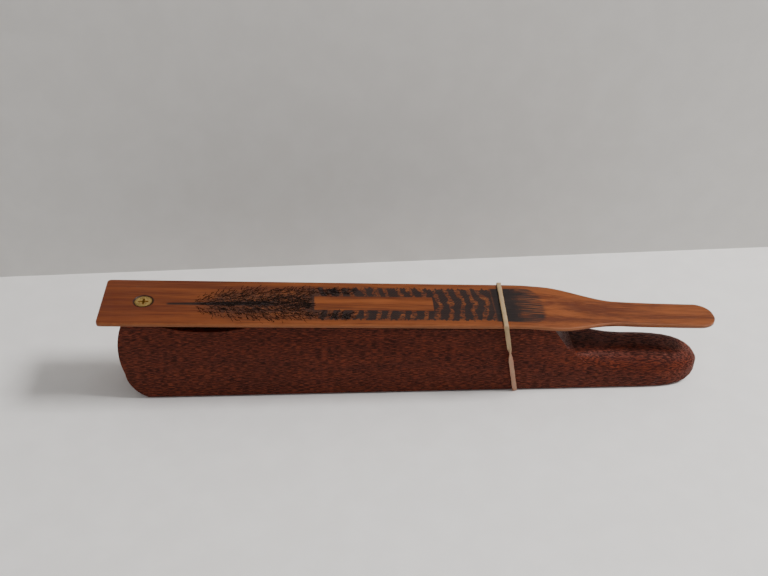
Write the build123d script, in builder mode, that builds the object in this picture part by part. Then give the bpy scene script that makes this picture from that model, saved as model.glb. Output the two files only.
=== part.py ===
"""A long-box friction game call: a narrow wooden sound box with a cedar paddle that swings on one screw.

Frame: origin on the underside of the box, straight below the pivot screw. +X runs along the box towards
the paddle's handle, +Z is up, and +Y is the far side. Millimetres.
"""

import os
from math import exp, radians, sin, tan
from build123d import *

os.makedirs("parts", exist_ok=True)

# --- Driving dimensions -------------------------------------------------------------------------------
box_half = 15.2  # half the box's outside width
board = 3.5  # side board thickness
core_half = box_half - board  # half the width between the side boards
floor_thickness = 4.0
block_end = 9.4  # the hinge block's inner face
chamber_end = 204.0  # the grip block's inner face

lid_fall = 0.0328  # the paddle and the lips drop this much per millimetre towards the handle
lid_top_at_screw = 51.4
lid_thickness = 4.6
lid_edge = 2.0  # the paddle is this thin along its two long edges
handle_edge = 1.3
lid_clearance = 0.4
lip_at_screw = lid_top_at_screw - lid_thickness - lid_clearance

lid_back = -20.8  # the paddle's square end
lid_back_half = 19.35
lid_front_half = 18.7
crown_flat = 9.0  # half the flat strip down the middle of the paddle's underside
taper_start = 195.0  # from here the top is carved down to the handle
tip_radius = 9.7
tip_centre = 292.6

head_radius = 4.4
head_top = lid_top_at_screw - 0.15
shank_radius = 2.1
thread_core_radius = 1.6
screw_length = 32.0
screw_hole_radius = shank_radius + 0.3
pilot_radius = shank_radius + 0.1
countersink_radius = 5.2
countersink_half_angle = 41.0

pocket_radius = 5.0
pocket_floor = 34.0
washer_radius = 4.7
washer_thickness = 0.8
spring_radius = 3.8
spring_wire_radius = 0.4
spring_turns = 5

band_thickness = 0.9
band_width = 2.4

# Boxes that cut a piece out of the whole form are simply larger than it.
form_length = 330.0
form_height = 60.0


def lip_height(x):
    """Height of the side boards' sounding lips."""
    return lip_at_screw - lid_fall * x


def lid_top(x):
    """Height of the paddle's flat top, back to where it is carved down."""
    return lid_top_at_screw - lid_fall * x


# --- The outer form of the box ------------------------------------------------------------------------
# The side profile has a bowed stem at the hinge end, a dip in the lips in front of the hinge block, and a
# shoulder that drops to the grip. The shoulder's line runs on down inside the grip, which covers it.
stem_top = -9.9
flat_start = -1.0  # the flat underside begins here, just behind the screw's axis
dip_depth = 3.0  # how far the dip lies below the straight lip
dip_deepest = 26.0
dip_end = 53.0
shoulder_top = 211.6

with BuildPart() as box_form:
    with BuildSketch(Plane.XZ):
        with BuildLine():
            ThreePointArc((stem_top, lip_height(stem_top)), (-12.9, 34.0), (-11.3, 16.0))
            ThreePointArc((-11.3, 16.0), (-7.4, 5.3), (flat_start, 0.0))
            Line((flat_start, 0.0), (250.0, 0.0))
            Line((250.0, 0.0), (219.6, 27.4))
            Line((219.6, 27.4), (shoulder_top, lip_height(shoulder_top)))
            Line((shoulder_top, lip_height(shoulder_top)), (dip_end, lip_height(dip_end)))
            ThreePointArc(
                (dip_end, lip_height(dip_end)),
                (dip_deepest, lip_height(dip_deepest) - dip_depth),
                (block_end, lip_height(block_end)),
            )
            Line((block_end, lip_height(block_end)), (stem_top, lip_height(stem_top)))
        make_face()
    extrude(amount=box_half, both=True)

# The grip is lofted through upright sections that shrink to a rounded nose.
grip_start = 214.0
nose_start = 256.0
nose_end = 297.2
nose_height = 8.0  # the nose's foremost point is this high
grip_top_at_start = 22.8
grip_top_at_nose = 20.2
grip_round = 12.5  # rounding of the grip's two upper edges
shoulder_round = 2.0  # the rounding fades to this at the shoulder
round_steps = 5
nose_steps = 10
nose_last = 0.992  # the loft stops just short of the point, on a small flat


def grip_section(x, half, bottom, top, upper_round, lower_round):
    """One upright section of the grip, well rounded above and nearly square below."""
    with BuildSketch(Plane(origin=(x, 0, (top + bottom) / 2), x_dir=(0, 1, 0), z_dir=(1, 0, 0))) as section:
        Rectangle(2 * half, top - bottom)
        corners = section.vertices().group_by(Axis.Y)
        fillet(corners[-1], min(upper_round, 0.6 * (top - bottom), 0.9 * half))
        fillet(corners[0], min(lower_round, 0.35 * (top - bottom)))
    return section.sketch


grip_sections = []
for step in range(round_steps):
    share = step / round_steps
    rounding = shoulder_round + (grip_round - shoulder_round) * share * share * (3 - 2 * share)
    top = grip_top_at_start + (grip_top_at_nose - grip_top_at_start) * share
    grip_sections.append(
        grip_section(grip_start + (nose_start - grip_start) * share, box_half, 0, top, rounding, 0.5)
    )
for step in range(nose_steps + 1):
    into_nose = sin(radians(90 * step / nose_steps) * nose_last)
    shrink = (1 - into_nose**2) ** 0.5
    grip_sections.append(
        grip_section(
            nose_start + (nose_end - nose_start) * into_nose,
            box_half * (1 - into_nose**4) ** 0.5,
            nose_height * (1 - (1 - into_nose**5) ** 0.5),
            nose_height + (grip_top_at_nose - nose_height) * shrink,
            grip_round * shrink,
            0.5 + 3.0 * into_nose,
        )
    )

with BuildPart() as grip_form:
    loft(grip_sections, ruled=True)

with BuildPart() as body_form:
    add(box_form.part)
    add(grip_form.part)

# --- Side boards: the two sounding boards, full length, from the stem to the nose ---------------------
for name, side in (("side_board_near", -1), ("side_board_far", 1)):
    with BuildPart() as side_board:
        add(body_form.part)
        with Locations((140.0, side * (core_half + board / 2), form_height / 2 - 2)):
            Box(form_length, board, form_height, mode=Mode.INTERSECT)
    side_board.part.label = name
    export_step(side_board.part, "parts/" + name + ".step")

# --- Floor board: closes the sound chamber below ------------------------------------------------------
with BuildPart() as floor_board:
    with Locations(((block_end + chamber_end) / 2, 0, floor_thickness / 2)):
        Box(chamber_end - block_end, 2 * core_half, floor_thickness)
floor_board.part.label = "floor_board"
export_step(floor_board.part, "parts/floor_board.step")

# --- Hinge block: holds the screw and the lid spring --------------------------------------------------
with BuildPart() as hinge_block:
    add(body_form.part)
    with Locations(((lid_back + block_end) / 2, 0, form_height / 2 - 2)):
        Box(block_end - lid_back, 2 * core_half, form_height, mode=Mode.INTERSECT)
    with Locations((0, 0, (pocket_floor + form_height) / 2)):
        Cylinder(pocket_radius, form_height - pocket_floor, mode=Mode.SUBTRACT)
    pilot_bottom = head_top - screw_length - 1.5
    with Locations((0, 0, (pilot_bottom + pocket_floor) / 2)):
        Cylinder(pilot_radius, pocket_floor - pilot_bottom, mode=Mode.SUBTRACT)
hinge_block.part.label = "hinge_block"
export_step(hinge_block.part, "parts/hinge_block.step")

# --- Grip block: the solid front of the box, from the chamber's end to the nose -----------------------
with BuildPart() as grip_block:
    add(body_form.part)
    with Locations((chamber_end + form_length / 2, 0, form_height / 2 - 2)):
        Box(form_length, 2 * core_half, form_height, mode=Mode.INTERSECT)
grip_block.part.label = "grip_block"
export_step(grip_block.part, "parts/grip_block.step")


# --- Paddle: flat on top, crowned below, carved down to a narrow handle -------------------------------
def paddle_section(x, half, top, thickness, edge=lid_edge):
    """One upright section of the paddle: flat top, thin edges, flat-bottomed crown."""
    flat = crown_flat * half / lid_front_half
    with BuildSketch(Plane(origin=(x, 0, 0), x_dir=(0, 1, 0), z_dir=(1, 0, 0))) as section:
        with BuildLine():
            Line((-half, top), (half, top))
            Line((half, top), (half, top - edge))
            TangentArc((flat, top - thickness), (half, top - edge), tangent=(1, 0))
            Line((flat, top - thickness), (-flat, top - thickness))
            TangentArc((-flat, top - thickness), (-half, top - edge), tangent=(-1, 0))
            Line((-half, top - edge), (-half, top))
        make_face()
    return section.sketch


# The carved front: the top falls away first, then the outline narrows and the underside follows.
shoulder_start = 210.5
shoulder_end = 250.0
top_carve_depth = 5.5
top_carve_length = 46.0
top_carve_power = 1.45
underside_start = 212.0
underside_carve_depth = 4.9
underside_carve_length = 22.0
underside_carve_power = 1.2


def settle(distance, length, power):
    """0 at the start of a carved stretch, rising smoothly to 1 a few lengths on."""
    return 1 - exp(-((max(distance, 0) / length) ** power))


def front_section(x):
    """The paddle's section at a place on its carved front."""
    narrow = min(max((x - shoulder_start) / (shoulder_end - shoulder_start), 0), 1)
    narrow = narrow * narrow * (3 - 2 * narrow)
    half = lid_front_half + (tip_radius - lid_front_half) * narrow
    top = lid_top(x) - top_carve_depth * settle(x - taper_start, top_carve_length, top_carve_power)
    carved_below = underside_carve_depth * settle(
        x - underside_start, underside_carve_length, underside_carve_power
    )
    underside = lid_top(x) - lid_thickness - carved_below
    edge = lid_edge + (handle_edge - lid_edge) * narrow
    return paddle_section(x, half, top, top - underside, edge)


front_steps = 27
front_pitch = 4.0
lid_section = paddle_section(lid_back, lid_back_half, lid_top(lid_back), lid_thickness)
front_sections = [front_section(taper_start + step * front_pitch) for step in range(front_steps + 1)]

with BuildPart() as paddle:
    loft([lid_section, front_sections[0]], ruled=True)
    loft(front_sections)
    with BuildSketch(Plane.XY) as outline:
        with Locations(((lid_back + tip_centre) / 2, 0)):
            Rectangle(tip_centre - lid_back, 2 * lid_back_half)
        fillet(outline.vertices().group_by(Axis.X)[0], 2.0)
        with Locations((tip_centre, 0)):
            Circle(tip_radius)
    extrude(amount=form_height, mode=Mode.INTERSECT)
    Cylinder(screw_hole_radius, 2 * form_height, mode=Mode.SUBTRACT)
    countersink_depth = (countersink_radius - screw_hole_radius) / tan(radians(countersink_half_angle))
    with Locations((0, 0, lid_top_at_screw + 0.1 - countersink_depth / 2)):
        Cone(screw_hole_radius, countersink_radius, countersink_depth, mode=Mode.SUBTRACT)
    with Locations((0, 0, lid_top_at_screw + 1.1)):
        Cylinder(countersink_radius, 2.0, mode=Mode.SUBTRACT)
paddle.part.label = "paddle"
export_step(paddle.part, "parts/paddle.step")

# --- Pivot screw: countersunk wood screw, its thread as plain rings -----------------------------------
head_rim = 0.3
head_cone_height = (head_radius - shank_radius) / tan(radians(countersink_half_angle))
thread_pitch = 1.6
thread_turns = 9
screw_point = head_top - screw_length
thread_start = screw_point + 4.0
recess_length = 5.2
recess_width = 1.1
recess_depth = 2.0

with BuildPart() as pivot_screw:
    with BuildSketch(Plane.XZ):
        with BuildLine():
            profile = [(0, screw_point), (thread_core_radius, thread_start)]
            for turn in range(thread_turns):
                base = thread_start + turn * thread_pitch
                profile.append((thread_core_radius, base + 0.5))
                profile.append((shank_radius, base + 0.8))
                profile.append((shank_radius, base + 1.0))
                profile.append((thread_core_radius, base + 1.3))
            thread_end = thread_start + thread_turns * thread_pitch
            profile.append((thread_core_radius, thread_end + 0.5))
            profile.append((shank_radius, thread_end + 1.0))
            profile.append((shank_radius, head_top - head_rim - head_cone_height))
            profile.append((head_radius, head_top - head_rim))
            profile.append((head_radius, head_top))
            profile.append((0, head_top))
            Polyline(*profile, close=True)
        make_face()
    revolve(axis=Axis.Z)
    with BuildSketch(Plane.XY.offset(head_top)):
        Rectangle(recess_length, recess_width)
        Rectangle(recess_width, recess_length)
    extrude(amount=-recess_depth, taper=10, mode=Mode.SUBTRACT)
pivot_screw.part.label = "pivot_screw"
export_step(pivot_screw.part, "parts/pivot_screw.step")

# --- Lid spring and its two washers, in the hinge block's pocket --------------------------------------
upper_washer_bottom = lip_height(0) - 0.1 - washer_thickness
lower_washer_top = pocket_floor + washer_thickness

for name, bottom in (("lower_washer", pocket_floor), ("upper_washer", upper_washer_bottom)):
    with BuildPart() as washer:
        with BuildSketch(Plane.XY.offset(bottom)):
            Circle(washer_radius)
            Circle(screw_hole_radius, mode=Mode.SUBTRACT)
        extrude(amount=washer_thickness)
    washer.part.label = name
    export_step(washer.part, "parts/" + name + ".step")

end_gap = 0.05  # between the spring's end and each washer
spring_base = lower_washer_top + spring_wire_radius + end_gap
spring_rise = upper_washer_bottom - spring_wire_radius - end_gap - spring_base
with BuildPart() as lid_spring:
    with BuildLine(Plane.XY.offset(spring_base)):
        coil = Helix(pitch=spring_rise / spring_turns, height=spring_rise, radius=spring_radius)
    with BuildSketch(Plane(origin=coil @ 0, z_dir=coil % 0)):
        Circle(spring_wire_radius)
    sweep(is_frenet=True)
lid_spring.part.label = "lid_spring"
export_step(lid_spring.part, "parts/lid_spring.step")

# --- Rubber band: over the paddle, down both sides with a lean, and under the box ---------------------
# Where the band's middle crosses each long edge, along the box.
band_paddle_x = {-1: 184.6, 1: 186.8}
band_box_x = {-1: 194.3, 1: 190.5}
band_middle = 186.0
band_inner_top = lid_top(band_middle) + 0.4
band_turn_height = lid_top(band_middle) - lid_edge - 0.3
band_paddle_y = lid_front_half + 0.4 + band_thickness / 2
band_box_y = box_half + 0.1 + band_thickness / 2
band_inner_bottom = -0.05
band_turn_low = 1.0


def band_strand(height, crossing, reach):
    """A flat strand of the band across the paddle or the box, between its two crossings."""
    with BuildSketch(Plane.XY.offset(height)) as strand:
        with BuildLine():
            Polyline(
                (crossing[-1] - band_width / 2, -reach),
                (crossing[-1] + band_width / 2, -reach),
                (crossing[1] + band_width / 2, reach),
                (crossing[1] - band_width / 2, reach),
                close=True,
            )
        make_face()
    return strand.sketch


def band_end(height, x, y):
    """A side strand's level cross-section."""
    with BuildSketch(Plane.XY.offset(height)) as end:
        with Locations((x, y)):
            Rectangle(band_width, band_thickness)
    return end.sketch


with BuildPart() as rubber_band:
    add(band_strand(band_inner_top, band_paddle_x, band_paddle_y + band_thickness / 2))
    extrude(amount=band_thickness)
    add(band_strand(band_inner_bottom, band_box_x, band_box_y + band_thickness / 2))
    extrude(amount=-band_thickness)
    for side in (-1, 1):
        upper_end = band_end(band_turn_height, band_paddle_x[side], side * band_paddle_y)
        lower_end = band_end(band_turn_low, band_box_x[side], side * band_box_y)
        loft([upper_end, lower_end], ruled=True)
        with Locations((band_paddle_x[side], side * band_paddle_y, (band_inner_top + band_turn_height) / 2)):
            Box(band_width, band_thickness, band_inner_top - band_turn_height)
        with Locations((band_box_x[side], side * band_box_y, (band_turn_low + band_inner_bottom) / 2)):
            Box(band_width, band_thickness, band_turn_low - band_inner_bottom)
rubber_band.part.label = "rubber_band"
export_step(rubber_band.part, "parts/rubber_band.step")
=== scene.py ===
# %% [markdown]
# # A long box call
# A box call is a narrow wooden sound box. A cedar paddle swings on one screw and rubs on the box's two
# thin lips. The frame brings in the engineering model, with its moving bodies. This notebook gives every
# piece its finish, and replaces the plain pieces that need softer edges or a truer shape.

# %% Load the frame and keep its size
import math

import bmesh
import bpy
from mathutils import Matrix, Vector


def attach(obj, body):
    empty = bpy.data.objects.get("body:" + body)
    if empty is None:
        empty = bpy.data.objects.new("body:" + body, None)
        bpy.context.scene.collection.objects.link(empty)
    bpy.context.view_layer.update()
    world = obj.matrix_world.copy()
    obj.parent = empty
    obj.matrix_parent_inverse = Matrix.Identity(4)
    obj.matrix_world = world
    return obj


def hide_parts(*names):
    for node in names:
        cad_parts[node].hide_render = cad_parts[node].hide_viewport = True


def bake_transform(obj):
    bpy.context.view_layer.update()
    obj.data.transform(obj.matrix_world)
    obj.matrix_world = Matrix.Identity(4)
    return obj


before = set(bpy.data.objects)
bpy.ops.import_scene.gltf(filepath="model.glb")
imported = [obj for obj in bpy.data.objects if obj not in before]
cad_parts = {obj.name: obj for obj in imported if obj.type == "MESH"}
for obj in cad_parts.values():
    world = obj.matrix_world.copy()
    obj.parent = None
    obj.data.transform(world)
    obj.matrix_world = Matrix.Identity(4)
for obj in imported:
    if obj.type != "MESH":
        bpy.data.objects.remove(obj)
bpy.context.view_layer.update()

MM = 0.001

# %% [markdown]
# ## The camera
# It stands in front of the call and looks down on it at about 35 degrees. A camera object could be turned
# with a Track To constraint, but a matrix built from yaw, pitch and roll states the view exactly.


# %% Camera
def view_matrix(place, yaw, pitch, roll):
    """A camera's world matrix. Yaw turns it about the vertical, pitch tips it down, roll turns its axis."""
    cy, sy = math.cos(yaw), math.sin(yaw)
    cp, sp = math.cos(pitch), math.sin(pitch)
    ahead = Vector((-sy * cp, cy * cp, -sp))
    level = Vector((cy, sy, 0))
    up = level.cross(ahead)
    right = math.cos(roll) * level + math.sin(roll) * up
    top = -math.sin(roll) * level + math.cos(roll) * up
    matrix = Matrix.Identity(4)
    for column, direction in enumerate((right, top, -ahead, Vector(place))):
        for row in range(3):
            matrix[row][column] = direction[row]
    return matrix


CAMERA_PLACE = (0.08939, -0.40842, 0.34291)
CAMERA_YAW, CAMERA_PITCH, CAMERA_ROLL = -4.696, 34.877, 1.81

camera_data = bpy.data.cameras.new("camera")
camera_data.lens = 45.43
camera_data.sensor_width = 36
camera_data.clip_start = 0.01
camera = bpy.data.objects.new("camera", camera_data)
bpy.context.scene.collection.objects.link(camera)
camera.matrix_world = view_matrix(
    CAMERA_PLACE, math.radians(CAMERA_YAW), math.radians(CAMERA_PITCH), math.radians(CAMERA_ROLL)
)
bpy.context.scene.camera = camera
to_middle = camera.location - Vector((0.14, 0, 0.03))
print("camera distance from the call's middle, m:", round(to_middle.length, 3))

# %% [markdown]
# ## Node helpers
# Materials are graphs of nodes. Written out one by one they're long, so a small class adds nodes and takes
# either a number or another node's output for any input.


# %% Node helpers
class Graph:
    """Adds nodes to one tree. Any input takes a plain value or another node's output."""

    def __init__(self, tree):
        self.tree = tree

    def add(self, kind, inputs=(), **settings):
        node = self.tree.nodes.new(kind)
        for name, value in settings.items():
            setattr(node, name, value)
        for name, value in dict(inputs).items():
            if isinstance(value, bpy.types.NodeSocket):
                self.tree.links.new(value, node.inputs[name])
            else:
                node.inputs[name].default_value = value
        return node

    def math(self, operation, a, b=0.0):
        return self.add("ShaderNodeMath", {0: a, 1: b}, operation=operation).outputs[0]

    def product(self, *factors):
        result = factors[0]
        for factor in factors[1:]:
            result = self.math("MULTIPLY", result, factor)
        return result

    def step(self, value, low, high, start=0.0, end=1.0):
        """Start below low, end above high, and a smooth rise between."""
        inputs = {"Value": value, "From Min": low, "From Max": high, "To Min": start, "To Max": end}
        return self.add("ShaderNodeMapRange", inputs, interpolation_type="SMOOTHSTEP").outputs[0]

    def mix(self, factor, a, b):
        return self.add("ShaderNodeMix", {0: factor, 6: a, 7: b}, data_type="RGBA").outputs[2]

    def stretch(self, vector, x, y, z):
        """The vector with each axis multiplied, to lengthen or squeeze a pattern."""
        factors = self.add("ShaderNodeCombineXYZ", {0: x, 1: y, 2: z}).outputs[0]
        return self.add("ShaderNodeVectorMath", {0: vector, 1: factors}, operation="MULTIPLY").outputs[0]

    def noise(self, vector, scale, detail=2.0, distortion=0.0):
        inputs = {"Vector": vector, "Scale": scale, "Detail": detail, "Distortion": distortion}
        return self.add("ShaderNodeTexNoise", inputs).outputs[0]


def new_group(name, inputs, outputs):
    """An empty shader node group. Returns its graph, its inputs and its outputs."""
    kinds = {"vector": "NodeSocketVector", "color": "NodeSocketColor", "value": "NodeSocketFloat"}
    tree = bpy.data.node_groups.new(name, "ShaderNodeTree")
    for label, kind in inputs:
        tree.interface.new_socket(label, in_out="INPUT", socket_type=kinds[kind])
    for label, kind in outputs:
        tree.interface.new_socket(label, in_out="OUTPUT", socket_type=kinds[kind])
    graph = Graph(tree)
    return graph, graph.add("NodeGroupInput").outputs, graph.add("NodeGroupOutput").inputs


def new_material(name, **constants):
    """A material with a Principled shader. Its constant values are set on the shader's own sockets."""
    material = bpy.data.materials.new(name)
    material.use_nodes = True
    shader = material.node_tree.nodes["Principled BSDF"]
    for label, value in constants.items():
        shader.inputs[label.replace("_", " ")].default_value = value
    graph = Graph(material.node_tree)
    place = graph.add("ShaderNodeTexCoord").outputs["Object"]
    return material, graph, shader, place


def use_group(graph, name, **inputs):
    """One group placed in a material with its own values."""
    node = graph.add("ShaderNodeGroup", node_tree=bpy.data.node_groups[name])
    for label, value in inputs.items():
        socket = node.inputs[label.replace("_", " ")]
        if isinstance(value, bpy.types.NodeSocket):
            graph.tree.links.new(value, socket)
        else:
            socket.default_value = value
    return node.outputs


def connect(graph, shader, height, distance, strength, **links):
    """Joins a bump from height, and the other outputs, to the shader."""
    bump = graph.add("ShaderNodeBump", {"Height": height, "Distance": distance, "Strength": strength})
    graph.tree.links.new(bump.outputs[0], shader.inputs["Normal"])
    for label, output in links.items():
        graph.tree.links.new(output, shader.inputs[label.replace("_", " ")])


# %% [markdown]
# ## Wood in three groups
# The cedar paddle and the dark box are different woods, but both show fibres along the length, pores and
# worn edges. Each effect is one shader node group, so both woods share it with their own values. Stretched
# noise makes fibres well: squeeze the coordinates along the board, and round blobs turn into long streaks.


# %% Group: wood fibre
graph, given, out = new_group(
    "wood_fibre",
    [
        ("Vector", "vector"),
        ("Light Color", "color"),
        ("Dark Color", "color"),
        ("Streak Scale", "value"),
        ("Fibre Scale", "value"),
        ("Squeeze", "value"),
    ],
    [("Color", "color"), ("Height", "value")],
)
along = graph.stretch(given["Vector"], given["Squeeze"], 1.0, 1.0)
streak = graph.noise(along, given["Streak Scale"], 3.0, 0.4)
fibre = graph.noise(along, given["Fibre Scale"], 3.0)
blend = graph.math("ADD", graph.product(streak, 0.62), graph.product(fibre, 0.38))
graph.tree.links.new(
    graph.mix(graph.step(blend, 0.36, 0.64), given["Dark Color"], given["Light Color"]), out["Color"]
)
graph.tree.links.new(fibre, out["Height"])
print("wood_fibre nodes:", len(graph.tree.nodes))

# %% Group: open pores
graph, given, out = new_group(
    "open_pores",
    [("Vector", "vector"), ("Length Scale", "value"), ("Width Scale", "value"), ("Amount", "value")],
    [("Mask", "value")],
)
fleck_place = graph.stretch(
    given["Vector"], given["Length Scale"], given["Width Scale"], given["Width Scale"]
)
fleck = graph.noise(fleck_place, 1.0, 1.5)
patch = graph.noise(given["Vector"], 90.0, 1.0)
level = graph.math("SUBTRACT", 1.0, given["Amount"])
level = graph.math("ADD", level, graph.product(graph.math("SUBTRACT", 0.5, patch), 0.06))
depth = graph.math("SUBTRACT", fleck, level)
graph.tree.links.new(graph.step(depth, -0.03, 0.04), out["Mask"])
print("open_pores nodes:", len(graph.tree.nodes))

# %% Group: edge wear
graph, given, out = new_group(
    "edge_wear", [("Vector", "vector"), ("Edge", "value"), ("Amount", "value")], [("Mask", "value")]
)
patchy = graph.noise(given["Vector"], 240.0, 4.0)
worn = graph.math("ADD", given["Edge"], graph.product(graph.math("SUBTRACT", patchy, 0.5), 1.6))
graph.tree.links.new(graph.product(graph.step(worn, 0.55, 1.15), given["Amount"]), out["Mask"])
print("edge_wear nodes:", len(graph.tree.nodes))

# %% [markdown]
# ## The printed feather
# A dark feather is printed on the paddle. Its barred vane, tip band and fringe are masks worked out from the
# distance along the paddle and from its quill, so they stay sharp however near the camera comes. The middle
# has a blank label panel. An image would be simpler, but a formula stays sharp at any distance.


# %% Group: feather print
graph, given, out = new_group("feather_print", [("Vector", "vector")], [("Mask", "value")])
axes = graph.add("ShaderNodeSeparateXYZ", {0: given["Vector"]}).outputs
x = graph.product(axes[0], 1000.0)
y = graph.product(axes[1], 1000.0)
quill_y = graph.math("MINIMUM", graph.math("SUBTRACT", graph.product(x, 0.02), 2.2), 0.0)
reach = graph.math("ABSOLUTE", graph.math("SUBTRACT", y, quill_y))
ragged = graph.noise(graph.stretch(given["Vector"], 700.0, 260.0, 0.0), 1.0, 3.0)
ragged_reach = graph.math("ADD", reach, graph.product(graph.math("SUBTRACT", ragged, 0.5), 7.0))

quill_half = graph.math("ADD", 0.55, graph.product(x, 0.02))
quill = graph.product(
    graph.step(graph.math("SUBTRACT", quill_half, reach), -0.1, 0.1),
    graph.step(x, 11.0, 13.0),
    graph.step(x, 60.0, 75.0, 1.0, 0.0),
)

wavy = graph.product(graph.noise(given["Vector"], 130.0, 2.0), 1.1)
bar_phase = graph.math("ADD", graph.math("ADD", graph.product(x, 0.16), graph.product(reach, 0.035)), wavy)
bar = graph.step(graph.math("PINGPONG", bar_phase, 0.5), 0.12, 0.26)
fleck_place = graph.stretch(given["Vector"], 520.0, 1100.0, 0.0)
bare = graph.step(graph.noise(fleck_place, 1.0, 2.0, 0.8), 0.4, 0.54, 0.0, 0.9)
bar_ink = graph.math("MAXIMUM", bar, graph.math("SUBTRACT", 1.0, bare))
barb_phase = graph.math("SUBTRACT", graph.product(x, 0.62), graph.product(reach, 0.5))
barb = graph.step(graph.math("PINGPONG", barb_phase, 0.5), 0.0, 0.18, 0.78, 1.0)
vane = graph.product(
    graph.step(x, 76.0, 92.0),
    graph.step(x, 180.5, 181.5, 1.0, 0.0),
    graph.step(ragged_reach, 13.4, 14.4, 1.0, 0.0),
    bar_ink,
    barb,
)

tip_band = graph.product(
    graph.step(x, 179.5, 182.0),
    graph.step(graph.math("ADD", x, graph.product(ragged, 9.0)), 196.0, 203.0, 1.0, 0.0),
    graph.step(reach, 14.4, 15.0, 1.0, 0.0),
)
fringe_end = graph.math("SUBTRACT", 208.5, graph.product(reach, reach, reach, reach, 0.00012))
strand = graph.noise(graph.stretch(given["Vector"], 60.0, 1500.0, 0.0), 1.0, 1.0)
fringe = graph.product(
    graph.step(x, 186.0, 190.0),
    graph.step(graph.math("SUBTRACT", fringe_end, x), -1.0, 2.0),
    graph.step(reach, 14.6, 15.4, 1.0, 0.0),
    graph.step(strand, 0.38, 0.52),
)

curl = graph.noise(given["Vector"], 620.0, 3.0, 1.5)
down_half = graph.step(x, 24.0, 44.0, 6.0, 16.5)
down = graph.product(
    graph.step(graph.math("PINGPONG", graph.product(curl, 6.0), 0.5), 0.14, 0.26),
    graph.step(graph.math("DIVIDE", ragged_reach, down_half), 0.3, 1.0, 1.0, 0.0),
    graph.step(x, 24.0, 40.0),
    graph.step(x, 88.0, 104.0, 1.0, 0.0),
)

label = graph.product(
    graph.step(graph.math("ABSOLUTE", graph.math("SUBTRACT", x, 118.0)), 30.7, 31.3, 1.0, 0.0),
    graph.step(graph.math("ABSOLUTE", y), 5.8, 6.2, 1.0, 0.0),
)
ink = quill
for part_of_feather in (vane, tip_band, fringe, down):
    ink = graph.math("MAXIMUM", ink, part_of_feather)
top_plane = graph.math("SUBTRACT", 51.4, graph.product(x, 0.0328))
below_top = graph.math("SUBTRACT", top_plane, graph.product(axes[2], 1000.0))
on_top = graph.step(below_top, 0.6, 1.2, 1.0, 0.0)
graph.tree.links.new(graph.product(ink, graph.math("SUBTRACT", 1.0, label), on_top), out["Mask"])
print("feather_print nodes:", len(graph.tree.nodes))

# %% [markdown]
# ## The six finishes
# Each material is a Principled shader with its pattern from the groups. Roughness varies with the same
# masks as the colour, because a pore or a worn edge catches light differently from polished wood.

# %% Finish: cedar paddle
INK = (0.0065, 0.0055, 0.006, 1)
paddle_cedar, graph, shader, place = new_material("paddle_cedar", Specular_IOR_Level=0.22)
fibre = use_group(
    graph,
    "wood_fibre",
    Vector=place,
    Light_Color=(0.215, 0.058, 0.012, 1),
    Dark_Color=(0.088, 0.018, 0.0034, 1),
    Streak_Scale=230.0,
    Fibre_Scale=1500.0,
    Squeeze=0.03,
)
pores = use_group(graph, "open_pores", Vector=place, Length_Scale=160.0, Width_Scale=2600.0, Amount=0.34)
edge = graph.add("ShaderNodeAttribute", attribute_name="edge").outputs["Fac"]
side = graph.add("ShaderNodeAttribute", attribute_name="side").outputs["Fac"]
lighter_edges = use_group(graph, "edge_wear", Vector=place, Edge=edge, Amount=0.3)
feather = use_group(graph, "feather_print", Vector=place)
hinge_end = graph.add("ShaderNodeSeparateXYZ", {0: place}).outputs[0]
redder = graph.step(hinge_end, -0.02, 0.07, 0.5, 0.0)
color = graph.mix(redder, fibre["Color"], (0.1, 0.018, 0.0055, 1))
color = graph.mix(graph.product(pores["Mask"], 0.35), color, (0.05, 0.012, 0.003, 1))
color = graph.mix(graph.product(side, 0.6), color, (0.27, 0.095, 0.036, 1))
color = graph.mix(lighter_edges["Mask"], color, (0.3, 0.105, 0.038, 1))
color = graph.mix(graph.product(feather["Mask"], 0.96), color, INK)
# Painted shade: the countersink round the screw, and a thin ring just outside it, are painted dark as if in
# shadow.
hole_axes = graph.add("ShaderNodeSeparateXYZ", {0: place}).outputs
hole_square = graph.math(
    "ADD", graph.product(hole_axes[0], hole_axes[0]), graph.product(hole_axes[1], hole_axes[1])
)
countersink = graph.step(graph.math("SQRT", hole_square), 0.0051, 0.0056, 1.0, 0.0)
color = graph.mix(graph.product(countersink, 0.9), color, (0.022, 0.01, 0.006, 1))
rough = graph.math("ADD", graph.step(fibre["Height"], 0.3, 0.7, 0.5, 0.4), graph.product(lighter_edges["Mask"], 0.2))
height = graph.math("SUBTRACT", fibre["Height"], graph.product(feather["Mask"], 0.3))
connect(graph, shader, height, 0.00012, 0.5, Base_Color=color, Roughness=rough)


# %% Finish: dark box wood
box_wood, graph, shader, place = new_material("box_wood", Specular_IOR_Level=0.16)
fibre = use_group(
    graph,
    "wood_fibre",
    Vector=place,
    Light_Color=(0.15, 0.023, 0.0065, 1),
    Dark_Color=(0.085, 0.0115, 0.0034, 1),
    Streak_Scale=200.0,
    Fibre_Scale=1700.0,
    Squeeze=0.12,
)
pores = use_group(graph, "open_pores", Vector=place, Length_Scale=310.0, Width_Scale=2300.0, Amount=0.52)
glints = use_group(graph, "open_pores", Vector=place, Length_Scale=300.0, Width_Scale=2700.0, Amount=0.44)
edge = graph.add("ShaderNodeAttribute", attribute_name="edge").outputs["Fac"]
lighter_edges = use_group(graph, "edge_wear", Vector=place, Edge=edge, Amount=0.4)
color = graph.mix(graph.product(glints["Mask"], 0.5), fibre["Color"], (0.24, 0.045, 0.013, 1))
color = graph.mix(graph.product(pores["Mask"], 0.82), color, (0.018, 0.004, 0.0025, 1))
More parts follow.
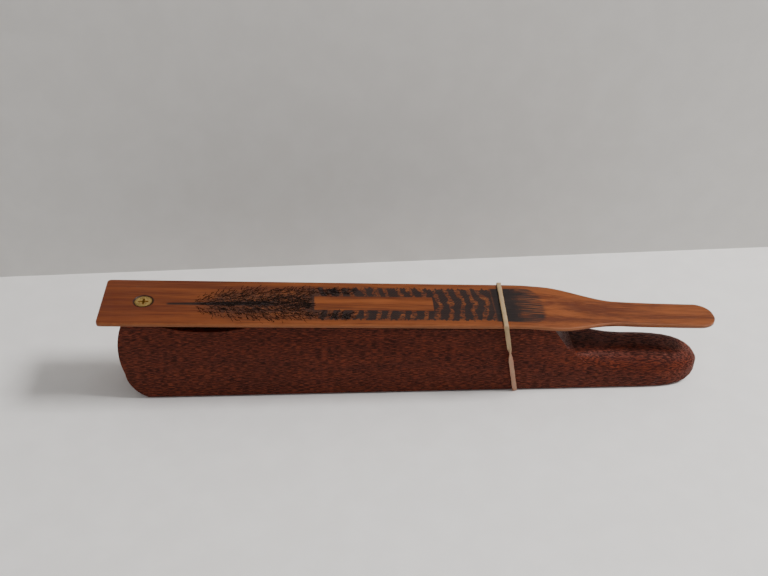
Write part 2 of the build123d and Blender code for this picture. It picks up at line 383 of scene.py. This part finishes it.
# Lighter outer edges: partly real worn wood, partly a painted highlight along the lips where they catch the
# light.
color = graph.mix(graph.product(lighter_edges["Mask"], 0.5), color, (0.16, 0.034, 0.012, 1))
smooth_wood = graph.step(fibre["Height"], 0.3, 0.7, 0.52, 0.44)
rough = graph.math("ADD", smooth_wood, graph.product(pores["Mask"], 0.25))
height = graph.math("SUBTRACT", graph.product(fibre["Height"], 0.4), pores["Mask"])
connect(graph, shader, height, 0.00015, 0.45, Base_Color=color, Roughness=rough)


# %% Group: turned and handled metal, with painted shade round the screw head's edge
graph, given, out = new_group(
    "handled_metal_shaded_rim",
    [("Vector", "vector"), ("Bright Color", "color"), ("Dull Color", "color"), ("Grime", "value")],
    [("Color", "color"), ("Roughness", "value"), ("Height", "value")],
)
axes = graph.add("ShaderNodeSeparateXYZ", {0: given["Vector"]}).outputs
radius = graph.math(
    "SQRT", graph.math("ADD", graph.product(axes[0], axes[0]), graph.product(axes[1], axes[1]))
)
rings = graph.math("PINGPONG", graph.product(radius, 5200.0), 0.5)
tarnish = graph.step(graph.noise(given["Vector"], 620.0, 4.0), 0.4, 0.68)
# Painted shade: from 3.1 mm out from the screw's axis the metal is darkened, which paints a dark ring round
# the head's edge.
rim = graph.step(radius, 0.0031, 0.0043, 0.0, 0.8)
# Real tarnish and the painted shade share one mask and one darker colour.
tarnish_and_shade = graph.math("MAXIMUM", graph.product(tarnish, given["Grime"]), rim)
graph.tree.links.new(graph.mix(tarnish_and_shade, given["Bright Color"], given["Dull Color"]), out["Color"])
graph.tree.links.new(graph.math("ADD", 0.22, graph.product(tarnish_and_shade, 0.35)), out["Roughness"])
graph.tree.links.new(rings, out["Height"])
print("handled_metal_shaded_rim nodes:", len(graph.tree.nodes))


# %% Finishes: brass screw, brass washers, spring steel
def metal_finish(name, bright, tarnish_and_shade, grime, strength):
    """A metal with turning marks, tarnish, and painted shade that darkens it from 3.1 mm out from the screw's
    axis.
    """
    material, graph, shader, place = new_material(name, Metallic=1.0)
    metal = use_group(
        graph, "handled_metal_shaded_rim", Vector=place, Bright_Color=bright, Dull_Color=tarnish_and_shade, Grime=grime
    )
    links = {"Base_Color": metal["Color"], "Roughness": metal["Roughness"]}
    connect(graph, shader, metal["Height"], 0.00004, strength, **links)
    return material


screw_brass = metal_finish("screw_brass", (0.72, 0.5, 0.17, 1), (0.22, 0.13, 0.04, 1), 0.75, 0.35)
washer_brass = metal_finish("washer_brass", (0.7, 0.52, 0.24, 1), (0.3, 0.2, 0.09, 1), 0.85, 0.3)
spring_steel = metal_finish("spring_steel", (0.58, 0.58, 0.6, 1), (0.3, 0.28, 0.26, 1), 0.6, 0.2)
print("metal finishes:", screw_brass.name, washer_brass.name, spring_steel.name)

# %% Finish: natural rubber band
band_rubber, graph, shader, place = new_material(
    "band_rubber", Subsurface_Weight=0.12, Subsurface_Scale=0.001
)
lowness = graph.add("ShaderNodeSeparateXYZ", {0: place}).outputs[2]
cloud = graph.noise(place, 260.0, 3.0)
chalk = graph.noise(graph.stretch(place, 1.0, 0.25, 0.25), 2600.0, 3.0)
color = graph.mix(graph.step(lowness, 0.022, 0.034), (0.4, 0.2, 0.12, 1), (0.34, 0.23, 0.11, 1))
color = graph.mix(graph.step(cloud, 0.42, 0.66, 0.0, 0.35), color, (0.46, 0.3, 0.17, 1))
color = graph.mix(graph.step(chalk, 0.5, 0.75, 0.0, 0.4), color, (0.52, 0.38, 0.25, 1))
rough = graph.step(chalk, 0.35, 0.7, 0.5, 0.72)
connect(graph, shader, chalk, 0.00005, 0.5, Base_Color=color, Roughness=rough)

# %% Finish: printing ink on the raised barbs
feather_ink, graph, shader, place = new_material("feather_ink", Specular_IOR_Level=0.04)
uneven = graph.noise(place, 900.0, 3.0)
color = graph.mix(graph.step(uneven, 0.45, 0.7), (0.005, 0.004, 0.004, 1), (0.022, 0.013, 0.008, 1))
rough = graph.step(uneven, 0.3, 0.7, 0.75, 0.9)
connect(graph, shader, uneven, 0.00002, 0.3, Base_Color=color, Roughness=rough)
print("finishes:", len([m for m in bpy.data.materials if m.use_nodes]))


# %% [markdown]
# ## Small mesh helpers
# Smooth shading needs sharp edges marked where a surface really turns. The helper marks every edge that
# bends more than a limit, which works for any mesh.


# %% Mesh helpers
def face_outward(bm):
    """Turns every face outward. A closed skin whose faces look inward has a negative volume."""
    bmesh.ops.recalc_face_normals(bm, faces=bm.faces)
    if bm.calc_volume(signed=True) < 0:
        bmesh.ops.reverse_faces(bm, faces=bm.faces)


def finish_mesh(bm, name, material, sharp_degrees=35):
    """Makes an object from a bmesh: outward normals, smooth faces, sharp edges marked, one material."""
    face_outward(bm)
    limit = math.radians(sharp_degrees)
    for face in bm.faces:
        face.smooth = True
    for line in bm.edges:
        line.smooth = line.calc_face_angle(0.0) < limit
    mesh = bpy.data.meshes.new(name)
    bm.to_mesh(mesh)
    bm.free()
    mesh.materials.append(material)
    piece = bpy.data.objects.new(name, mesh)
    bpy.context.scene.collection.objects.link(piece)
    return piece


def skin(bm, loops, closed=False):
    """Joins neighbouring loops of vertices with quads, and caps the ends of an open skin."""
    pairs = list(zip(loops, loops[1:])) + ([(loops[-1], loops[0])] if closed else [])
    for one, two in pairs:
        for i in range(len(one)):
            j = (i + 1) % len(one)
            bm.faces.new((one[i], one[j], two[j], two[i]))
    if not closed:
        bm.faces.new(loops[0])
        bm.faces.new(reversed(loops[-1]))


# %% [markdown]
# ## The paddle
# The paddle is flat on top and crowned below, thin at its long edges, and carved down to a round-ended
# handle. Its section follows a rule all along, so loops of points at many stations, joined into a skin, give
# a truer shape than pushing a cube about. Small arcs at the edges catch the light as sanded wood does.

# %% Paddle: the rule for its section
LID_FALL = 0.0328
LID_TOP = 51.4
LID_BACK = -20.8
BACK_HALF, FRONT_HALF = 19.35, 18.7
CARVE_START = 195.0
TIP_RADIUS, TIP_CENTRE = 9.7, 292.6


def settle(distance, length, power):
    """0 at the start of a carved stretch, rising smoothly to 1 a few lengths on."""
    return 1 - math.exp(-((max(distance, 0) / length) ** power))


def paddle_sizes(x):
    """Half width, top, underside and edge thickness of the paddle, in mm, at x."""
    narrow = min(max((x - 210.5) / 39.5, 0), 1)
    narrow = narrow * narrow * (3 - 2 * narrow)
    straight = BACK_HALF + (FRONT_HALF - BACK_HALF) * min((x - LID_BACK) / (CARVE_START - LID_BACK), 1)
    half = straight + (TIP_RADIUS - straight) * narrow
    flat = LID_TOP - LID_FALL * x
    top = flat - 5.5 * settle(x - CARVE_START, 46.0, 1.45)
    below = flat - 4.6 - 4.9 * settle(x - 212.0, 22.0, 1.2)
    return half, top, below, 2.0 - 0.7 * narrow


def paddle_loop(bm, x, edge_layer, side_layer):
    """One closed loop of vertices round the paddle, with small arcs at its long edges."""
    half, top, below, edge = paddle_sizes(x)
    crown_flat = 9.0 * half / FRONT_HALF
    into_tip = max((x - TIP_CENTRE) / TIP_RADIUS, 0)
    from_back = min((x - LID_BACK) / 2.0, 1)
    if into_tip > 0:
        round_off = math.sqrt(1 - into_tip**2)
        middle = (top + below) / 2
        pinch = (1 - 0.5 * into_tip**16) ** 0.5
        top, below = middle + (top - middle) * pinch, middle - (middle - below) * pinch
        edge = edge * pinch
        crown_flat, half = crown_flat * round_off, half * round_off
    if from_back < 1:
        half = half - 2.0 + 2.0 * math.sqrt(1 - (1 - from_back) ** 2)
    upper, lower = min(0.55, 0.3 * edge, 0.4 * half), min(0.45, 0.25 * edge, 0.3 * half)
    rise, run = top - below - edge, half - crown_flat
    crown_radius = (run * run + rise * rise) / (2 * rise)
    profile = [(half * share, top, 0, 0) for share in (0.0, 0.3, 0.6, 0.85)]
    profile.append((half - 3 * upper, top, 0, 0))
    for turn in range(5):
        angle = math.radians(90 - 22.5 * turn)
        across = half - upper + upper * math.cos(angle)
        profile.append((across, top - upper + upper * math.sin(angle), 1, turn / 4))
    for turn in range(4):
        angle = math.radians(-30 * turn)
        across = half - lower + lower * math.cos(angle)
        profile.append((across, top - edge + lower + lower * math.sin(angle), 0.6, 1 - turn / 3))
    for share in (0.86, 0.68, 0.5, 0.32, 0.15, 0.0):
        out = run * share
        profile.append((crown_flat + out, below + crown_radius - math.sqrt(crown_radius**2 - out**2), 0, 0))
    profile.append((0.0, below, 0, 0))
    loop = []
    for across, z, worn, is_side in profile + [(-a, b, c, d) for a, b, c, d in profile[-2:0:-1]]:
        vertex = bm.verts.new((x * MM, across * MM, z * MM))
        vertex[edge_layer] = worn
        vertex[side_layer] = is_side
        loop.append(vertex)
    return loop


# %% Paddle: skin and screw hole
stations = [LID_BACK + 2.0 * (1 - math.cos(math.radians(15 * turn))) for turn in range(1, 6)]
stations = [LID_BACK + 0.02] + stations
stations += [LID_BACK + 2.0 + (TIP_CENTRE - LID_BACK - 2.0) * step / 150 for step in range(151)]
stations += [TIP_CENTRE + TIP_RADIUS * math.sin(math.radians(angle)) for angle in range(8, 80, 7)]
stations.append(TIP_CENTRE + TIP_RADIUS * 0.9975)
bm = bmesh.new()
edge_layer = bm.verts.layers.float.new("edge")
side_layer = bm.verts.layers.float.new("side")
skin(bm, [paddle_loop(bm, x, edge_layer, side_layer) for x in stations])
# Points that nearly meet at the tip are joined before the cut, so that what it leaves open can be filled.
bmesh.ops.remove_doubles(bm, verts=bm.verts, dist=4e-6)
paddle = finish_mesh(bm, "cedar_paddle", paddle_cedar)

# The cutter is a turned profile: a straight hole below, and a countersink that opens past the top.
HOLE_RADIUS, COUNTERSINK_RADIUS = 2.4, 5.2
CONE_START, CONE_END = 48.279, 51.5
hole_profile = [
    (HOLE_RADIUS, 30),
    (HOLE_RADIUS, CONE_START),
    (COUNTERSINK_RADIUS, CONE_END),
    (COUNTERSINK_RADIUS, 53.0),
]
cutter_mesh = bpy.data.meshes.new("hole_cutter")
bm = bmesh.new()
TURNS = 64
rims = []
for radius, z in hole_profile:
    angles = [2 * math.pi * k / TURNS for k in range(TURNS)]
    circle = [Vector((radius * math.cos(a), radius * math.sin(a), z)) for a in angles]
    rims.append([bm.verts.new(point * MM) for point in circle])
skin(bm, rims)
face_outward(bm)
bm.to_mesh(cutter_mesh)
bm.free()
cutter = bpy.data.objects.new("hole_cutter", cutter_mesh)
bpy.context.scene.collection.objects.link(cutter)
drill = paddle.modifiers.new("drill", "BOOLEAN")
drill.operation = "DIFFERENCE"
drill.solver = "EXACT"
drill.object = cutter
evaluated = paddle.evaluated_get(bpy.context.evaluated_depsgraph_get())
drilled = bpy.data.meshes.new_from_object(evaluated)
paddle.modifiers.clear()
paddle.data = drilled
bpy.data.objects.remove(cutter)
bm = bmesh.new()
bm.from_mesh(paddle.data)
bmesh.ops.remove_doubles(bm, verts=bm.verts, dist=1e-7)
# The cut leaves a small gap in the tip's end face, which is filled here.
rims_left = [line for line in bm.edges if len(line.link_faces) == 1]
bmesh.ops.holes_fill(bm, edges=rims_left, sides=0)
face_outward(bm)
open_edges = sum(1 for line in bm.edges if len(line.link_faces) == 1)
volume = round(bm.calc_volume(signed=True) * 1e6, 2)
print("paddle open edges:", open_edges, "volume, cm3:", volume)
for line in bm.edges:
    line.smooth = line.calc_face_angle(0.0) < math.radians(35)
bm.to_mesh(paddle.data)
bm.free()
paddle.data.materials.clear()
paddle.data.materials.append(paddle_cedar)
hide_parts("paddle")
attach(paddle, "paddle")
print("paddle faces:", len(paddle.data.polygons), "height, mm:", round(1000 * paddle.dimensions.z, 1))

# %% [markdown]
# ## The feather's downy barbs
# Near the quill the feather is soft down: hundreds of short curling barbs. They repeat along a line, so
# Geometry Nodes make them. Points stand along the quill and step off it at random from a fixed seed. Each
# gets one barb, turned away from the quill, and noise curls the lot. Each barb is a flat strip of only a
# few faces, lying on the wood. Points that would land on the blank label are deleted.


# %% Downy barbs: the node tree
LABEL_START, LABEL_REACH = 0.0835, 0.0088
def barb_tree():
    """A tree that sprays barbs along the quill."""
    tree = bpy.data.node_groups.new("downy_barbs", "GeometryNodeTree")
    for label, kind in (
        ("Count", "NodeSocketInt"),
        ("Start", "NodeSocketFloat"),
        ("End", "NodeSocketFloat"),
        ("Reach", "NodeSocketFloat"),
        ("Longest", "NodeSocketFloat"),
        ("Width", "NodeSocketFloat"),
        ("Curl", "NodeSocketFloat"),
        ("Seed", "NodeSocketInt"),
        ("Ink", "NodeSocketMaterial"),
    ):
        tree.interface.new_socket(label, in_out="INPUT", socket_type=kind)
    tree.interface.new_socket("Geometry", in_out="OUTPUT", socket_type="NodeSocketGeometry")
    graph = Graph(tree)
    given = graph.add("NodeGroupInput").outputs
    start = graph.add("ShaderNodeCombineXYZ", {0: given["Start"]}).outputs[0]
    gap = graph.math("DIVIDE", graph.math("SUBTRACT", given["End"], given["Start"]), given["Count"])
    pitch = graph.add("ShaderNodeCombineXYZ", {0: gap}).outputs[0]
    line = graph.add(
        "GeometryNodeMeshLine", {"Count": given["Count"], "Start Location": start, "Offset": pitch}
    )

    strip = graph.add("GeometryNodeCurvePrimitiveLine", {"End": (1.0, 0.0, 0.0)})
    strip = graph.add("GeometryNodeResampleCurve", {"Curve": strip.outputs[0], "Count": 6})
    profile = graph.add(
        "GeometryNodeCurvePrimitiveQuadrilateral", {"Width": given["Width"], "Height": 0.00005}
    )
    strip = graph.add(
        "GeometryNodeCurveToMesh",
        {"Curve": strip.outputs[0], "Profile Curve": profile.outputs[0], "Fill Caps": True},
    )

    def random_value(low, high, offset):
        seed = graph.math("ADD", given["Seed"], float(offset))
        node = graph.add("FunctionNodeRandomValue", data_type="FLOAT")
        node.inputs[2].default_value = low
        node.inputs[3].default_value = high
        tree.links.new(seed, node.inputs["Seed"])
        return node.outputs[1]

    place = graph.add("GeometryNodeInputPosition").outputs[0]
    along = graph.add("ShaderNodeSeparateXYZ", {0: place}).outputs[0]
    travelled = graph.math("SUBTRACT", along, given["Start"])
    share = graph.math("DIVIDE", travelled, graph.product(gap, given["Count"]))
    crowd = graph.math("SUBTRACT", graph.math("POWER", share, 0.68), share)
    crowd = graph.product(crowd, gap, given["Count"])
    half = graph.product(graph.step(share, -0.15, 0.2, 0.3, 1.0), given["Reach"])
    lot = random_value(-1.0, 1.0, 3)
    from_quill = graph.product(lot, graph.math("POWER", graph.math("ABSOLUTE", lot), 0.35))
    offset = graph.add("ShaderNodeCombineXYZ", {0: crowd, 1: graph.product(from_quill, half)}).outputs[0]
    scattered = graph.add("GeometryNodeSetPosition", {"Geometry": line.outputs[0], "Offset": offset})
    place = graph.add("GeometryNodeInputPosition").outputs[0]
    axes = graph.add("ShaderNodeSeparateXYZ", {0: place}).outputs
    on_label = graph.product(
        graph.math("GREATER_THAN", axes[0], LABEL_START),
        graph.math("LESS_THAN", graph.math("ABSOLUTE", axes[1]), LABEL_REACH),
    )
    scattered = graph.add(
        "GeometryNodeDeleteGeometry",
        {"Geometry": scattered.outputs[0], "Selection": on_label},
        domain="POINT",
    )
    length = graph.product(given["Longest"], random_value(0.35, 1.0, 1))
    angle = graph.math("ADD", graph.product(from_quill, 0.75), random_value(-0.75, 0.75, 2))
    turn = graph.add("ShaderNodeCombineXYZ", {2: angle}).outputs[0]
    size = graph.add("ShaderNodeCombineXYZ", {0: length, 1: 1.0, 2: 1.0}).outputs[0]
    spray = graph.add(
        "GeometryNodeInstanceOnPoints",
        {"Points": scattered.outputs[0], "Instance": strip.outputs[0], "Rotation": turn, "Scale": size},
    )
    spray = graph.add("GeometryNodeRealizeInstances", {0: spray.outputs[0]})

    place = graph.add("GeometryNodeInputPosition").outputs[0]
    axes = graph.add("ShaderNodeSeparateXYZ", {0: place}).outputs
    swirl = graph.add("ShaderNodeTexNoise", {"Vector": place, "Scale": 520.0, "Detail": 1.0}).outputs["Color"]
    swirl = graph.add("ShaderNodeSeparateXYZ", {0: swirl}).outputs
    bend = [graph.product(graph.math("SUBTRACT", swirl[k], 0.5), given["Curl"]) for k in range(2)]
    surface = graph.math("SUBTRACT", LID_TOP * MM + 0.00001, graph.product(axes[0], LID_FALL))
    lean = graph.product(graph.math("SUBTRACT", axes[0], 0.11), 0.02)
    shift = graph.add("ShaderNodeCombineXYZ", {0: bend[0], 1: graph.math("ADD", bend[1], lean), 2: surface})
    laid = graph.add("GeometryNodeSetPosition", {"Geometry": spray.outputs[0], "Offset": shift.outputs[0]})
    inked = graph.add("GeometryNodeSetMaterial", {"Geometry": laid.outputs[0], "Material": given["Ink"]})
    result = graph.add("NodeGroupOutput")
    tree.links.new(inked.outputs[0], result.inputs[0])
    return tree


def grow(name, tree, **values):
    """Runs a Geometry Nodes tree on an empty mesh and returns a plain mesh object."""
    piece = bpy.data.objects.new(name, bpy.data.meshes.new(name))
    bpy.context.scene.collection.objects.link(piece)
    modifier = piece.modifiers.new(name, "NODES")
    modifier.node_group = tree
    for item in tree.interface.items_tree:
        if item.in_out == "INPUT":
            modifier[item.identifier] = values[item.name]
    evaluated = piece.evaluated_get(bpy.context.evaluated_depsgraph_get())
    mesh = bpy.data.meshes.new_from_object(evaluated)
    piece.modifiers.clear()
    piece.data = mesh
    return piece


# %% Downy barbs: lay them on the paddle
down_values = {"Count": 1650, "Start": 0.025, "End": 0.106, "Reach": 0.0132, "Longest": 0.005}
barbs = grow("feather_down", barb_tree(), Width=0.00023, Curl=0.0034, Seed=7, Ink=feather_ink, **down_values)
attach(barbs, "paddle")
print("downy barb faces:", len(barbs.data.polygons))

# %% [markdown]
# ## The sounding boards
# The two side boards are thin planks sawn to the box's outline. Their shape is already right, so a copy of
# each is merged and only its outer edges are bevelled. A Bevel modifier would round the glued edges too and
# open grooves between the boards, so the edges are picked by where they lie.


# %% Sounding boards
def softened_board(name, node):
    """A copy of a side board with its outer edges eased, and those edges marked to be painted lighter: partly
    worn wood, partly a painted highlight along the lips.
    """
    bm = bmesh.new()
    bm.from_mesh(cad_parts[node].data)
    bmesh.ops.remove_doubles(bm, verts=bm.verts, dist=1e-6)
    bmesh.ops.dissolve_limit(bm, angle_limit=math.radians(0.5), verts=bm.verts, edges=bm.edges)
    layer = bm.verts.layers.float.new("edge")
    outer = [
        line
        for line in bm.edges
        if line.calc_face_angle(0.0) > math.radians(40) and all(abs(v.co.y) > 0.0149 for v in line.verts)
    ]
    eased = bmesh.ops.bevel(
        bm, geom=outer, offset=0.0005, segments=3, profile=0.5, affect="EDGES", clamp_overlap=True
    )
    for vertex in eased["verts"]:
        vertex[layer] = 0.8
    board = finish_mesh(bm, name, box_wood)
    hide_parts(node)
    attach(board, "box")
    return board


for name, node in (("near_board", "side_board_near"), ("far_board", "side_board_far")):
    board = softened_board(name, node)
    print(name, "faces:", len(board.data.polygons))

# %% [markdown]
# ## The rubber band
# A flat rubber band holds the call shut. It runs over the paddle, down both sides and under the box, and
# flips over once on its way down each side, where it shows its narrow edge. A curve with a bevel and a tilt
# would do, but stating each ring's turn in code puts the flips exactly where they belong.

# %% Rubber band
BAND_WIDTH, BAND_THICKNESS = 2.4, 0.9
corners = [
    Vector((184.6, -19.5, 45.85)),
    Vector((194.3, -15.72, -0.48)),
    Vector((190.5, 15.72, -0.48)),
    Vector((186.8, 19.5, 45.85)),
]


def rounded_route(points, trim, spacing):
    """Points along a closed route whose corners are rounded with short quadratic curves."""
    route = []
    for k, corner in enumerate(points):
        before = (points[k - 1] - corner).normalized() * trim + corner
        ahead = points[(k + 1) % len(points)]
        after = (ahead - corner).normalized() * trim + corner
        for step in range(7):
            t = step / 6
            route.append(before * (1 - t) ** 2 + corner * 2 * t * (1 - t) + after * t * t)
        end = ahead + (corner - ahead).normalized() * trim
        count = int((end - after).length / spacing)
        route += [after.lerp(end, step / count) for step in range(1, count)]
    return route


def flip(z, start, end):
    """Half a turn, made smoothly between two heights."""
    t = min(max((z - start) / (end - start), 0), 1)
    return math.pi * t * t * (3 - 2 * t)


def band_outline(width, thickness, corner=0.28):
    """The band's section: a rectangle with rounded corners."""
    outline = []
    for quarter in range(4):
        sx, sy = ((1, 1), (-1, 1), (-1, -1), (1, -1))[quarter]
        for step in range(3):
            angle = math.radians(90 * quarter + 45 * step)
            across = sx * (width / 2 - corner) + corner * math.cos(angle)
            through = sy * (thickness / 2 - corner) + corner * math.sin(angle)
            outline.append((across, through))
    return outline


SPACING = 0.4
route = rounded_route(corners, 0.75, SPACING)
bm = bmesh.new()
rings = []
for k, point in enumerate(route):
    tangent = (route[(k + 1) % len(route)] - route[k - 1]).normalized()
    outward = tangent.cross(Vector((1, 0, 0))).normalized()
    across = outward.cross(tangent).normalized()
    near_side = point.y < 0
    angle = flip(point.z, 34, 20) if near_side else flip(point.z, 14, 28)
    if abs(point.y) < 15.6 and point.z < 10:
        angle = math.pi
    elif near_side and point.z < 20:
        angle = math.pi
    elif not near_side:
        angle = math.pi - angle
    waist = math.sin(angle)
    along = k * SPACING
    wobble = 1 + 0.04 * math.sin(0.75 * along) + 0.03 * math.sin(1.9 * along)
    outline = band_outline(BAND_WIDTH * (1 - 0.12 * waist) * wobble, BAND_THICKNESS)
    ring = []
    for a, b in outline:
        turned = across * (a * math.cos(angle) - b * math.sin(angle))
        turned += outward * (a * math.sin(angle) + b * math.cos(angle))
        ring.append(bm.verts.new((point + turned) * MM))
    rings.append(ring)
skin(bm, rings, closed=True)
band = finish_mesh(bm, "rubber_band_loop", band_rubber, 50)
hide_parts("rubber_band")
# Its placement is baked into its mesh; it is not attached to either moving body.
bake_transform(band)
print("band rings:", len(rings), "faces:", len(band.data.polygons))

# %% [markdown]
# ## The pieces carried over
# The floor, the two blocks, the screw, the washers and the spring already have their true shape, so they
# only take a finish. Changing a material slot leaves the engineering mesh as it is.

# %% Dress the carried-over pieces
finishes = {
    "floor_board": box_wood,
    "hinge_block": box_wood,
    "grip_block": box_wood,
    "pivot_screw": screw_brass,
    "lower_washer": washer_brass,
    "upper_washer": washer_brass,
    "lid_spring": spring_steel,
}
for node, material in finishes.items():
    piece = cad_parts[node]
    if not piece.material_slots:
        piece.data.materials.append(material)
    for place_for_material in piece.material_slots:
        place_for_material.material = material
print("dressed:", ", ".join(finishes))

# %% [markdown]
# ## Floor, wall and light
# The call lies on a pale table in front of a pale wall, under soft light from above and behind its right
# end, so its shadow falls to the left and towards the viewer. A wide area light gives a soft shadow edge.
# Table and wall are clear from behind, so the call can be looked at from any side.


# %% Floor, wall and light
def stage_sheet(name, points, base, speckle):
    """One flat stage surface with a faintly mottled paint."""
    mesh = bpy.data.meshes.new(name)
    mesh.from_pydata(points, [], [(0, 1, 2, 3)])
    sheet = bpy.data.objects.new(name, mesh)
    bpy.context.scene.collection.objects.link(sheet)
    material, graph, shader, place = new_material(name + "_paint")
    back = graph.add("ShaderNodeNewGeometry").outputs["Backfacing"]
    graph.tree.links.new(graph.math("SUBTRACT", 1.0, back), shader.inputs["Alpha"])
    mottle = graph.step(graph.noise(place, 60.0, 4.0), 0.35, 0.7)
    color = graph.mix(mottle, base, speckle)
    rough = graph.step(mottle, 0, 1, 0.55, 0.65)
    connect(graph, shader, mottle, 0.0002, 0.1, Base_Color=color, Roughness=rough)
    mesh.materials.append(material)


TABLE_Z = -0.00095
wall_left, wall_right = Vector((-0.1075, 0.1015, 0)), Vector((0.3916, 0.1245, 0))
wall_run = (wall_right - wall_left).normalized() * 3
feet = [wall_left - wall_run, wall_right + wall_run]
table_points = [(-3, -3, TABLE_Z), (3, -3, TABLE_Z), (3, 3, TABLE_Z), (-3, 3, TABLE_Z)]
stage_sheet("table", table_points, (0.86, 0.83, 0.8, 1), (0.89, 0.86, 0.83, 1))
wall_points = [(p.x, p.y, z) for p, z in ((feet[0], -0.01), (feet[1], -0.01), (feet[1], 2.0), (feet[0], 2.0))]
stage_sheet("wall", wall_points, (0.66, 0.64, 0.61, 1), (0.69, 0.67, 0.64, 1))

LAMP_WATTS, SKY_STRENGTH = 70.0, 0.40
lamp_data = bpy.data.lights.new("softbox", "AREA")
lamp_data.shape = "RECTANGLE"
lamp_data.size = 0.9
lamp_data.size_y = 0.5
lamp_data.energy = LAMP_WATTS
lamp = bpy.data.objects.new("softbox", lamp_data)
bpy.context.scene.collection.objects.link(lamp)
lamp.location = (1.35, 0.12, 1.45)
lamp.rotation_euler = (Vector((0.12, 0.0, 0.0)) - lamp.location).to_track_quat("-Z", "Y").to_euler()

world = bpy.data.worlds.new("studio")
world.use_nodes = True
world.node_tree.nodes["Background"].inputs[0].default_value = (0.95, 0.97, 1.0, 1)
world.node_tree.nodes["Background"].inputs[1].default_value = SKY_STRENGTH
bpy.context.scene.world = world
print("softbox distance, m:", round(lamp.location.length, 2))
